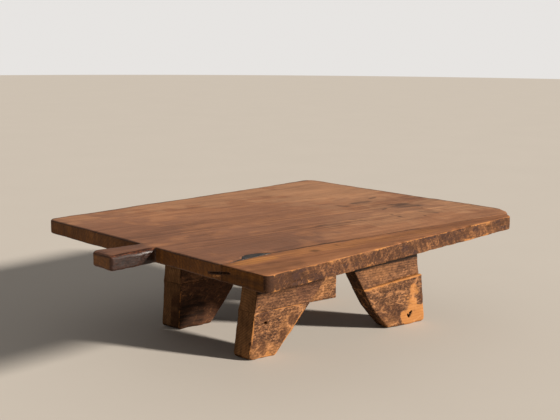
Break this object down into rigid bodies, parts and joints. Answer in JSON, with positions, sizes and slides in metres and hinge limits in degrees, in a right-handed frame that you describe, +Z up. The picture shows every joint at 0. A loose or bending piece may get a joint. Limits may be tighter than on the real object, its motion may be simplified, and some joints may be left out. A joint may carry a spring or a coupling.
{
  "type": "low table",
  "caption": "Low rustic wooden table: a thick plank top with a carrying handle cut from one end, on V-notched side rails with pieced block feet.",
  "frame": {"origin": "on the floor, under the middle of the table's outline with the handle included", "axes": "+X along the top, away from the handle; +Y across it, away from the tapered front board; +Z up"},
  "size_m": [0.906, 0.649, 0.24],
  "materials": {
    "top_wood": "worn, oiled and hand-polished, dark reddish brown",
    "front_board_wood": "worn and oiled, with bare orange edges",
    "rail_wood": "darkened with use, speckled and scratched",
    "foot_wood": "darkened with use, with bare orange patches",
    "dowel_wood": "plain turned hardwood",
    "joint_filler": "dark slate-grey filler, rubbed smooth"
  },
  "bodies": {
    "root": {"wide_board": "top_wood", "front_board": "front_board_wood", "joint_filler": "joint_filler", "joint_dowels": "dowel_wood", "rail_dowels": "dowel_wood", "near_rail": "rail_wood", "far_rail": "rail_wood", "front_foot": "foot_wood", "right_foot": "foot_wood", "left_foot": "foot_wood", "back_foot": "foot_wood", "front_foot_dowels": "dowel_wood", "right_foot_dowels": "dowel_wood", "left_foot_dowels": "dowel_wood", "back_foot_dowels": "dowel_wood"}
  },
  "joints": []
}
